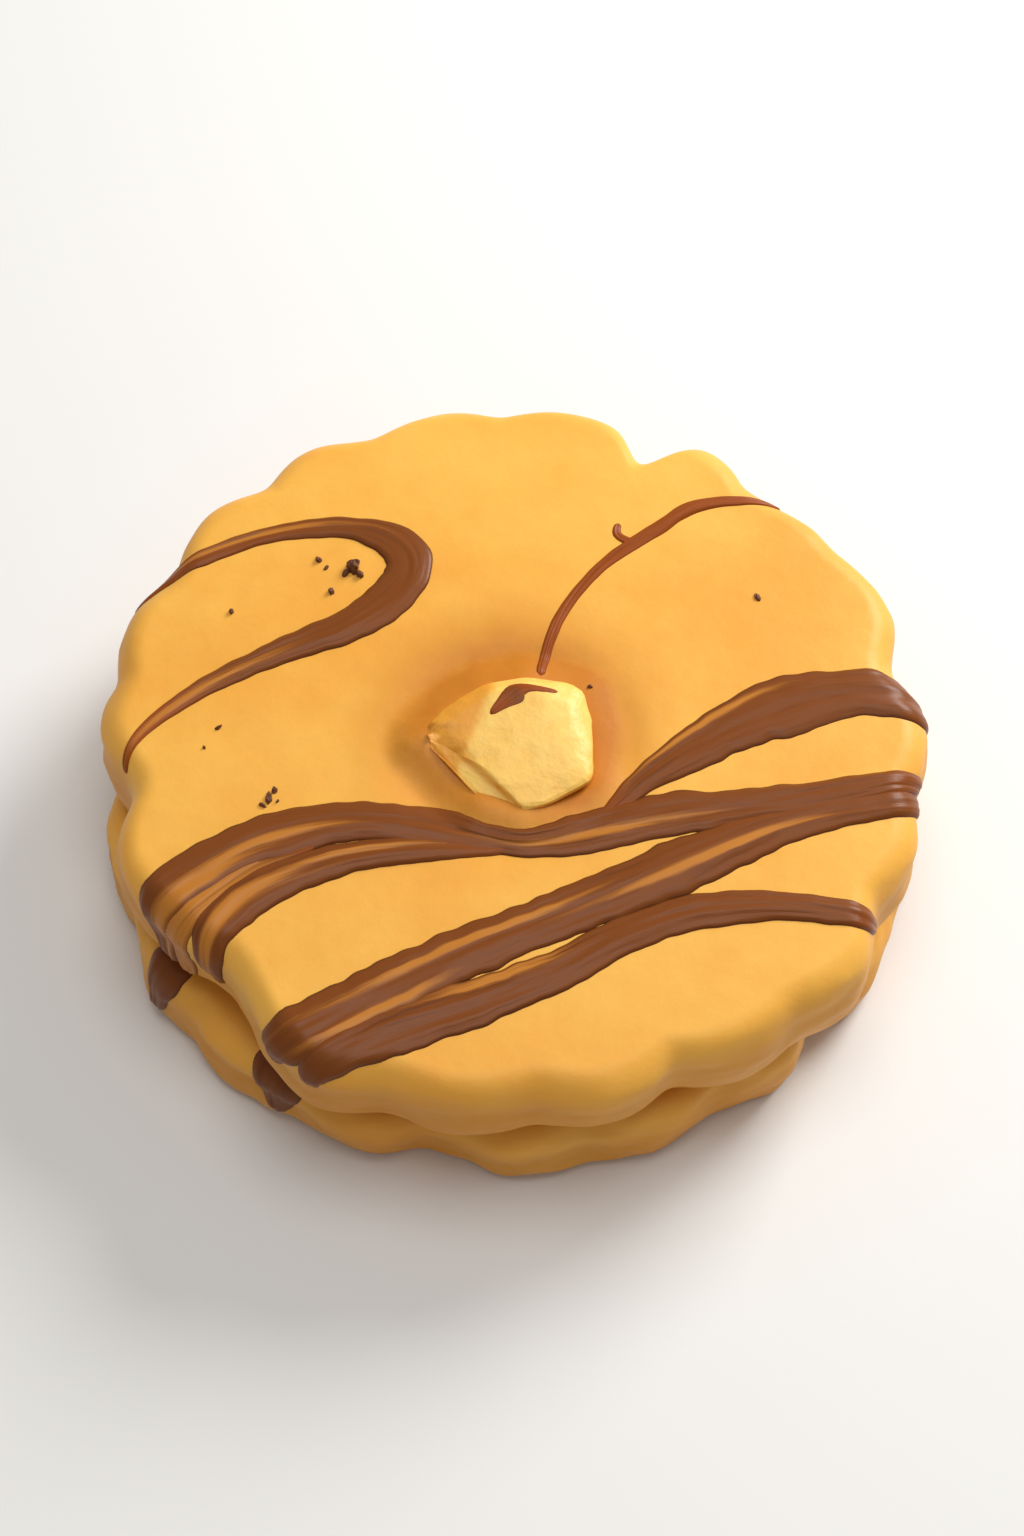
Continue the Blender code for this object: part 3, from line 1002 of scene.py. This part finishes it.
def base_runs():
    """Chocolate that ran out of the groove and down the side of the lower round, as paths."""
    runs = {}
    shoulder = base_round.shoulder
    for angle, width in BASE_RUNS:
        theta = math.radians(angle)
        rim = np.interp(theta, base_round.angles, base_round.rim)
        start = rim - shoulder - RUN_INSET
        end = rim + shoulder * (math.pi / 2 - 1.0) + base_round.height - shoulder - FOOT_RADIUS
        knots = []
        for part, share in RUN_WIDTHS:
            far = (start + (end - start) * part) / MM
            knots.append((far * math.cos(theta), far * math.sin(theta), width * share))
        runs[f"run_{angle}"] = knots
    return runs


# %% A smooth curve through the knots
STRAND_STEP = 0.4 * MM


def spline(knots, step):
    """Even stations along a smooth curve through the knots: x, y and width in metres."""
    knots = np.array(knots) * MM
    padded = np.vstack([2 * knots[0] - knots[1], knots, 2 * knots[-1] - knots[-2]])
    stations = []
    for a, b, c, d in zip(padded, padded[1:], padded[2:], padded[3:]):
        pieces = max(2, round(float(np.hypot(*(c - b)[:2])) / step))
        for t in np.arange(pieces) / pieces:
            bend = (2 * a - 5 * b + 4 * c - d) * t * t + (3 * b - a - 3 * c + d) * t**3
            stations.append(0.5 * (2 * b + (c - a) * t + bend))
    return np.array(stations + [knots[-1]])


# %% The edges and the section of a strand
CROWN_POINTS = 22
ROOT_POINTS = 6
ROOT_DEPTH = 0.9
LEAST_WIDTH = 0.5 * MM
FULL_WIDTH = 5.0 * MM


def edge_wander(distance, side, seed):
    """How far the edge bulges or shrinks at this distance along the strand."""
    slow = noise.noise(Vector((distance / (6.0 * MM), side * 3.0, seed)))
    quick = noise.noise(Vector((distance / (1.6 * MM), side * 3.0, seed + 5.0)))
    return 1.0 + 0.2 * slow + 0.1 * quick


def strand_section():
    """Across, from -1 to 1, and height of the section: a low crown, and a root under the icing."""
    crown = np.linspace(-1, 1, CROWN_POINTS)
    root = np.linspace(1, -1, ROOT_POINTS + 2)[1:-1]
    lift = np.concatenate([(1.0 - crown**4) ** 0.8, np.full(ROOT_POINTS, -ROOT_DEPTH)])
    return np.concatenate([crown, root]), lift


# %% Lay a tube along each path
def strand_rings(shape, knots, centre, seed, fullness):
    """Rings of the tube, with how far each point is along and across, and how high it stands."""
    stations = spline(knots, STRAND_STEP)
    middle, width = stations[:, :2] + centre, np.maximum(stations[:, 2], LEAST_WIDTH)
    heading = np.gradient(middle, axis=0)
    heading /= np.linalg.norm(heading, axis=1)[:, None]
    aside = np.stack([-heading[:, 1], heading[:, 0]], -1)
    along = np.concatenate([[0.0], np.cumsum(np.linalg.norm(np.diff(middle, axis=0), axis=1))])
    end = np.minimum(along, along[-1] - along) / (0.75 * width)
    taper = np.sqrt(1.0 - (1.0 - np.clip(end, 0.02, 1.0)) ** 2)
    across, lift = strand_section()
    ragged = np.array([[edge_wander(s, side, seed) for side in (-1, 1)] for s in along])
    reach = np.where(across[None, :] < 0, ragged[:, :1], ragged[:, 1:])
    offset = 0.5 * width[:, None] * taper[:, None] * across[None, :] * reach
    place = middle[:, None, :] + aside[:, None, :] * offset[:, :, None]
    points = shape.laid(place[..., 0], place[..., 1])
    stand = np.where(lift[None, :] > 0, lift[None, :] * taper[:, None], lift[None, :])
    stand = stand * np.minimum(fullness, 0.35 + width / FULL_WIDTH)[:, None]
    slender = 1.0 - smooth((width / MM - 1.2) / 1.4)
    measures = {
        "along": along[:, None],
        "across": across[None, :],
        "stand": stand,
        "slender": slender[:, None],
    }
    return points, {key: values + 0 * stand for key, values in measures.items()}


# %% Put the tubes in one mesh
FULLNESS = {"veil": 0.7}
SEED_STEP = 3.7
STREAK_SHIFT = 0.2


def strands_mesh(name, shape, paths, centre):
    """All the tubes as one mesh that carries its measures as attributes."""
    points, faces = [], []
    measures = {key: [] for key in ("along", "across", "stand", "slender", "film")}
    for number, (strand, knots) in enumerate(paths.items()):
        fullness = FULLNESS.get(strand, 1.0)
        grid, own = strand_rings(shape, knots, centre, SEED_STEP * number, fullness)
        own["film"] = film_over(strand, own["along"], own["across"])
        own["along"] = own["along"] + STREAK_SHIFT * number
        first, (rows, columns) = len(points), grid.shape[:2]
        points += grid.reshape(-1, 3).tolist()
        for key, values in measures.items():
            values += own[key].ravel().tolist()
        for row in range(rows - 1):
            ring = first + row * columns
            for column in range(columns):
                here, beside = ring + column, ring + (column + 1) % columns
                faces.append((here, here + columns, beside + columns, beside))
        faces.append([first + column for column in range(columns)])
        faces.append([first + (rows - 1) * columns + column for column in reversed(range(columns))])
    mesh = bpy.data.meshes.new(name)
    mesh.from_pydata(points, [], faces)
    mesh.transform(Matrix.Translation((*SHIFT, 0.0)))
    for key, values in measures.items():
        mesh.attributes.new(key, "FLOAT", "POINT").data.foreach_set("value", values)
    return mesh


# %% The chocolate's material
CHOCOLATE_DARK = (0.075, 0.021, 0.006, 1.0)
CHOCOLATE_MIDDLE = (0.200, 0.054, 0.008, 1.0)
CHOCOLATE_THIN = (0.560, 0.210, 0.030, 1.0)
CHOCOLATE_SLENDER = (0.300, 0.062, 0.004, 1.0)
CHOCOLATE_ROUGHNESS = 0.34
CHOCOLATE_SPECULAR = 0.2


def make_chocolate(name):
    """Brown with long streaks: paler where it is thin, redder where slender, dark at its edges."""
    material, bench, shader = start_material(name)
    along, across = bench.painted("along") / MM, bench.painted("across")
    streak = bench.noise(bench.vector(along * 0.07, across * 3.2), 1.3, 5.0, 0.65)
    broad = bench.noise(bench.vector(along * 0.035, across * 1.1, 4.0), 1.0, 2.0)
    rim = bench.step(bench.maths("ABSOLUTE", across) + streak * 0.1, 0.80, 1.0)
    thin = bench.step(streak * 0.7 + broad * 0.4 + bench.painted("film") * 1.2, 0.2, 1.0)
    dark = bench.step(streak * -0.9 + broad * -0.3, 0.05, 0.6)
    colour = bench.blend(bench.painted("slender"), CHOCOLATE_MIDDLE, CHOCOLATE_SLENDER)
    colour = bench.blend(thin * 0.85, colour, CHOCOLATE_THIN)
    colour = bench.blend(dark * 0.7, colour, CHOCOLATE_DARK)
    colour = bench.blend(rim * 0.85, colour, CHOCOLATE_DARK)
    feed(bench, shader, {
        "Base Color": colour,
        "Roughness": CHOCOLATE_ROUGHNESS + streak * 0.08,
        "Normal": bumped(bench, streak * 0.022 + broad * 0.1),
    })
    shader.inputs["Specular IOR Level"].default_value = CHOCOLATE_SPECULAR
    return material


chocolate = make_chocolate("poured_chocolate")
print(chocolate.name, "has", len(chocolate.node_tree.nodes), "nodes")

# %% The tree that drops a strand on to the icing
STRAND_INPUTS = {
    "Icing": "Object",
    "Depth": "Float",
    "Sink": "Float",
    "Streaks": "Float",
    "Seed": "Float",
    "Material": "Material",
}
RIDGE_LENGTH = 12.0 * MM
RIDGES_ACROSS = 2.4


def build_strand_tree():
    bench, given = start_tree("poured_strand", STRAND_INPUTS)
    nearest = {"Mesh": bench.mesh_of(given["Icing"]), "Sample Position": bench.place()}
    kind = {"data_type": "FLOAT_VECTOR"}
    foot, up = (
        bench.node("GeometryNodeSampleNearestSurface", kind, {**nearest, "Value": value})
        for value in (bench.place(), bench.normal())
    )
    along, across = bench.stored("along"), bench.stored("across")
    lane = bench.vector(along / RIDGE_LENGTH, across * RIDGES_ACROSS, given["Seed"])
    ridge = 1.0 + given["Streaks"] * bench.noise(lane, 1.0, 2.0)
    height = bench.stored("stand") * given["Depth"] * ridge - given["Sink"]
    dropped = bench.move(given["Geometry"], "Position", foot + up * height)
    soft = bench.node("GeometryNodeSetShadeSmooth", (), {"Geometry": dropped})
    return close_tree(bench, soft, given["Material"])


strand_tree = build_strand_tree()
print("the strand's tree has", len(strand_tree.nodes), "nodes")


# %% Pour the chocolate over the top round
STRAND_DEPTH = 0.5 * MM


def pour(name, shape, bed, paths, centre, depth):
    """Tubes along the paths, dropped on the bed, as one piece."""
    values = {
        "Icing": bed,
        "Depth": depth,
        "Sink": 0.2 * depth,
        "Streaks": 0.5,
        "Seed": 1.0,
        "Material": chocolate,
    }
    tubes = strands_mesh(name + "_tubes", shape, paths, centre)
    poured = grow(name, tubes, strand_tree, values)
    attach(poured, "root")
    return poured


top_chocolate = pour("top_chocolate", top_round, top_icing, TOP_STRANDS, NUT_PLACE, STRAND_DEPTH)
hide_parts("top_biscuit")

# %% [markdown]
# ## The smear on the nut
#
# A little of the chocolate that crossed the nut stuck to its back edge. It could be a patch of dark
# paint in the nut's material, but it has a rim and stands up a little, so it is one more short
# strand, much thinner, that the same tree lays on the nut. The tube needs a rough place first, and
# a ray dropped from above finds it. Beside the nut the ray hits nothing, so the nearest point is
# taken.


# %% Lay a smear on the nut
class NutTop:
    """The nut seen from above, to lay a strand on."""

    def __init__(self, piece):
        corners = [vertex.co for vertex in piece.data.vertices]
        self.tree = BVHTree.FromPolygons(corners, [face.vertices for face in piece.data.polygons])

    def laid(self, x, y):
        points = np.empty(x.shape + (3,))
        for spot in np.ndindex(x.shape):
            place = Vector((x[spot] + SHIFT[0], y[spot] + SHIFT[1], 0.0))
            hit = self.tree.ray_cast(place + Vector((0.0, 0.0, 1.0)), Vector((0.0, 0.0, -1.0)))[0]
            if hit is None:
                beside = place + Vector((0.0, 0.0, TOP_LEVEL + 1.4 * TOP_HEIGHT))
                hit = self.tree.find_nearest(beside)[0]
            points[spot] = hit - Vector((*SHIFT, 0.0))
        return points


SMEAR_DEPTH = 0.2 * MM
NUT_SMEAR = {
    "smear": (
        (-1.9, 2.0, 0.5),
        (-0.9, 2.9, 1.2),
        (0.4, 4.0, 2.2),
        (1.5, 4.4, 1.0),
        (4.2, 4.2, 0.5),
    ),
}
nut_chocolate = pour("nut_chocolate", NutTop(nut), nut, NUT_SMEAR, NUT_PLACE, SMEAR_DEPTH)

# %% [markdown]
# ## Runs on the lower round
#
# Where strands went over the rim, some of the chocolate gathered in the groove and ran on down the
# side of the lower round. Each run is wide at the top and narrow at its end, as a drop leaves it.
# They could be modelled as drops, but the same tubes and tree make them: their paths point straight
# outwards, and the icing's skin leads them down the side.

# %% Pour the runs
base_chocolate = pour("base_chocolate", base_round, base_icing, base_runs(), np.zeros(2), STRAND_DEPTH)
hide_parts("base_biscuit")

# %% [markdown]
# ## Filling
#
# The layer between the rounds is set back, and the icing has filmed over it. Only its edge shows, in
# the groove. Its brown is painted deeper than the icing's, as painted shade in the groove. A squashed
# cylinder would have too clean an edge, so it is a low drum whose bulging, slightly uneven edge comes
# from a formula, point by point. It follows the smaller of the two rims.

# %% The filling's material and mesh
FILLING_RECESS = 3.7 * MM
FILLING_WANDER = 0.4 * MM
EDGE_POINTS = 12
SHARP_ANGLE = math.radians(50)
CREAM_ROUGHNESS = 0.5
# Both browns are deeper than the icing: painted shade of the groove, with a mottle between them.
CREAM_SHADED_PALE = (0.50, 0.235, 0.052, 1.0)
CREAM_SHADED_DEEP = (0.26, 0.105, 0.020, 1.0)


def make_cream(name):
    """Brown as painted shade of the groove, and mottled, flattened a little, because the layer was
    squeezed.
    """
    material, bench, shader = start_material(name)
    place = own_place(bench, (1.0, 1.0, 1.6))
    mottle = bench.noise(place, 0.5, 5.0, 0.6)
    fine = bench.noise(place, 2.4, 4.0, 0.6)
    feed(bench, shader, {
        "Base Color": bench.blend(bench.step(mottle, -0.6, 0.6), CREAM_SHADED_DEEP, CREAM_SHADED_PALE),
        "Roughness": CREAM_ROUGHNESS + fine * 0.08,
        "Normal": bumped(bench, mottle * 0.2 + fine * 0.08),
    })
    return material


def make_filling():
    bulge = 0.5 * FILLING_HEIGHT
    points, faces = [], []
    rim = np.minimum(top_round.rim, base_round.rim) - FILLING_RECESS - bulge
    turns = np.linspace(math.pi / 2, -math.pi / 2, EDGE_POINTS)
    for theta, reach in zip(top_round.angles, rim):
        reach += FILLING_WANDER * wander(theta, 5.0, 2.2)
        for turn in turns:
            out = reach + bulge * math.cos(turn) * (1.0 + 0.25 * wander(theta, 22.0, turn))
            z = FILLING_LEVEL + bulge * (1.0 + math.sin(turn))
            points.append((out * math.cos(theta) + SHIFT[0], out * math.sin(theta) + SHIFT[1], z))
    for sector in range(SECTORS):
        here, after = sector * EDGE_POINTS, (sector + 1) % SECTORS * EDGE_POINTS
        for k in range(EDGE_POINTS - 1):
            faces.append((here + k, here + k + 1, after + k + 1, after + k))
    faces.append([sector * EDGE_POINTS for sector in range(SECTORS)])
    faces.append([(sector + 1) * EDGE_POINTS - 1 for sector in reversed(range(SECTORS))])
    mesh = bpy.data.meshes.new("filling_cream")
    mesh.from_pydata(points, [], faces)
    mesh.materials.append(make_cream("filling_cream"))
    mesh.shade_smooth()
    mesh.set_sharp_from_angle(angle=SHARP_ANGLE)
    return bpy.data.objects.new("filling_cream", mesh)


cream = make_filling()
bpy.context.scene.collection.objects.link(cream)
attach(cream, "root")
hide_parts("filling")
print(cream.name, "has", len(cream.data.polygons), "faces")

# %% [markdown]
# ## Crumbs of chocolate
#
# A few dark crumbs dropped on the icing, the largest inside the hairpin. Modelling each would be
# slow and wouldn't show, so a tree puts one small chipped grain on every point of a list. It turns
# each grain at random, gives it the size in the list, and rests it on the icing or on the nut.

# %% The crumbs' places
# Each is a place in millimetres from the nut's middle, then about how wide the crumb is.
CRUMBS = (
    (-14.5, 19.5, 1.7),
    (-13.8, 18.8, 1.0),
    (-15.1, 18.9, 0.9),
    (-14.2, 20.2, 0.8),
    (-17.6, 20.6, 0.8),
    (-16.9, 19.6, 0.5),
    (-16.3, 16.9, 0.8),
    (-25.3, 14.8, 0.7),
    (-25.8, 2.3, 0.6),
    (-26.9, 0.2, 0.4),
    (-21.0, -5.0, 1.0),
    (-20.5, -4.3, 0.7),
    (-21.5, -5.7, 0.6),
    (-20.2, -5.3, 0.4),
    (22.4, 16.3, 0.7),
    (7.0, 6.2, 0.5),
)


def crumb_points(name):
    """One point high above each crumb's place, which carries the crumb's size."""
    mesh = bpy.data.meshes.new(name)
    above = TOP_LEVEL + 2.0 * TOP_HEIGHT
    origin = NUT_PLACE + SHIFT
    mesh.from_pydata([(x * MM + origin[0], y * MM + origin[1], above) for x, y, _ in CRUMBS], [], [])
    sizes = [size for _, _, size in CRUMBS]
    mesh.attributes.new("size", "FLOAT", "POINT").data.foreach_set("value", sizes)
    return mesh


# %% The crumbs' tree
CRUMB_INPUTS = {"Bed": "Object", "Nut": "Object", "Seed": "Int", "Material": "Material"}
GRAIN_RADIUS = 0.5 * MM
CHIP_DEPTH = 0.36 * MM
FULL_TURN = (6.3, 6.3, 6.3)


def drop_points(bench, given):
    """Drops the points straight down, on to the icing or the nut."""
    beds = bench.node("GeometryNodeJoinGeometry")
    for name in ("Bed", "Nut"):
        mesh = bench.mesh_of(given[name])
        bench.tree.links.new(mesh.socket, beds.socket.node.inputs[0])
    hit = bench.node("GeometryNodeRaycast", {"data_type": "FLOAT"}, {
        "Target Geometry": beds,
        "Source Position": bench.place(),
        "Ray Direction": (0.0, 0.0, -1.0),
        "Ray Length": 1.0,
    })
    return bench.move(given["Geometry"], "Position", hit["Hit Position"])


def build_crumb_tree():
    bench, given = start_tree("crumbs", CRUMB_INPUTS)
    ball = {"Radius": GRAIN_RADIUS, "Subdivisions": 3}
    grain = bench.node("GeometryNodeMeshIcoSphere", (), ball)["Mesh"]
    chip = bench.noise(bench.place(), 1.0 / (0.3 * MM), 3.0, 0.7) * CHIP_DEPTH
    rough = bench.move(grain, "Offset", bench.normal() * chip)
    random_turn = {1: FULL_TURN, "Seed": given["Seed"]}
    turn = bench.node("FunctionNodeRandomValue", {"data_type": "FLOAT_VECTOR"}, random_turn)
    size = bench.stored("size")
    grains = bench.node("GeometryNodeInstanceOnPoints", (), {
        "Points": drop_points(bench, given),
        "Instance": rough,
        "Rotation": turn,
        "Scale": bench.vector(size * 1.25, size * 0.85, size * 0.6),
    })
    return close_tree(bench, grains, given["Material"])


# %% The crumbs' material
CRUMB_ROUGHNESS = 0.5


def make_crumb_material(name):
    """The chocolate's own browns, dull and grainy where it broke."""
    material, bench, shader = start_material(name)
    fine = bench.noise(own_place(bench), 3.0, 4.0, 0.6)
    feed(bench, shader, {
        "Base Color": bench.blend(bench.step(fine, -0.5, 0.6), CHOCOLATE_DARK, CHOCOLATE_MIDDLE),
        "Roughness": CRUMB_ROUGHNESS + fine * 0.1,
        "Normal": bumped(bench, fine * 0.1),
    })
    return material


# %% Scatter the crumbs
crumb_values = {
    "Bed": top_icing,
    "Nut": nut,
    "Seed": 3,
    "Material": make_crumb_material("chocolate_crumb"),
}
crumbs = grow("chocolate_crumbs", crumb_points("crumb_points"), build_crumb_tree(), crumb_values)
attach(crumbs, "root")

# %% [markdown]
# ## Floor, light and camera
#
# The floor is plain and pale. The light is a soft studio: a wide lamp nearly overhead, a stronger
# one low at the back right, which draws out the shoulders and the edges of the strands, and an even
# sky. The overhead lamp alone would make the top look flat. The camera looks down at 58 degrees from
# straight in front, which is how the photograph sees this biscuit.

# %% The floor
FLOOR_PALE = (0.86, 0.855, 0.84, 1.0)
FLOOR_GREY = (0.82, 0.815, 0.80, 1.0)
FLOOR_REACH = 3.0
FLOOR_DROP = 0.05 * MM


def make_floor():
    """A wide square, with a pale tone that drifts slowly."""
    material, bench, shader = start_material("pale_floor")
    cloud = bench.noise(own_place(bench), 0.004, 3.0)
    feed(bench, shader, {"Base Color": bench.blend(bench.step(cloud, -1.0, 1.0), FLOOR_GREY, FLOOR_PALE)})
    shader.inputs["Roughness"].default_value = 0.7
    mesh = bpy.data.meshes.new("floor")
    corners = [(x * FLOOR_REACH, y * FLOOR_REACH, 0.0) for x, y in ((-1, -1), (1, -1), (1, 1), (-1, 1))]
    mesh.from_pydata(corners, [], [(0, 1, 2, 3)])
    mesh.materials.append(material)
    return bpy.data.objects.new("floor", mesh)


floor = make_floor()
floor.location.z = -FLOOR_DROP
bpy.context.scene.collection.objects.link(floor)


# %% The light
LAMP_COLOUR = (1.0, 0.985, 0.96)
SKY_COLOUR = (1.0, 0.99, 0.975, 1.0)
SKY_STRENGTH = 0.30


def add_lamp(name, place, size, power):
    """A round lamp that looks at the biscuit."""
    lamp = bpy.data.lights.new(name, "AREA")
    lamp.shape = "DISK"
    lamp.size = size
    lamp.energy = power
    lamp.color = LAMP_COLOUR
    made = bpy.data.objects.new(name, lamp)
    made.location = place
    made.rotation_euler = (-Vector(place)).to_track_quat("-Z", "Y").to_euler()
    bpy.context.scene.collection.objects.link(made)


add_lamp("overhead", (0.02, 0.02, 0.50), size=0.34, power=0.93)
add_lamp("back_right", (0.28, 0.28, 0.26), size=0.22, power=2.1)
world = bpy.data.worlds.new("soft_sky")
world.use_nodes = True
sky = world.node_tree.nodes["Background"]
sky.inputs["Color"].default_value = SKY_COLOUR
sky.inputs["Strength"].default_value = SKY_STRENGTH
bpy.context.scene.world = world
bpy.context.scene.view_settings.view_transform = "Standard"

# %% The camera
CAMERA_ELEVATION = math.radians(58.0)
CAMERA_DISTANCE = 0.248
CAMERA_LENS = 64.0
AIM_HEIGHT = 9.0 * MM
aim = Vector((0.0, 0.0, AIM_HEIGHT))
camera = bpy.data.objects.new("camera", bpy.data.cameras.new("camera"))
camera.data.lens = CAMERA_LENS
camera.data.clip_start = 0.01
back = Vector((0.0, -math.cos(CAMERA_ELEVATION), math.sin(CAMERA_ELEVATION)))
camera.location = aim + back * CAMERA_DISTANCE
camera.rotation_euler = (-back).to_track_quat("-Z", "Y").to_euler()
bpy.context.scene.collection.objects.link(camera)
bpy.context.scene.camera = camera
print("camera at", [round(value, 3) for value in camera.location])
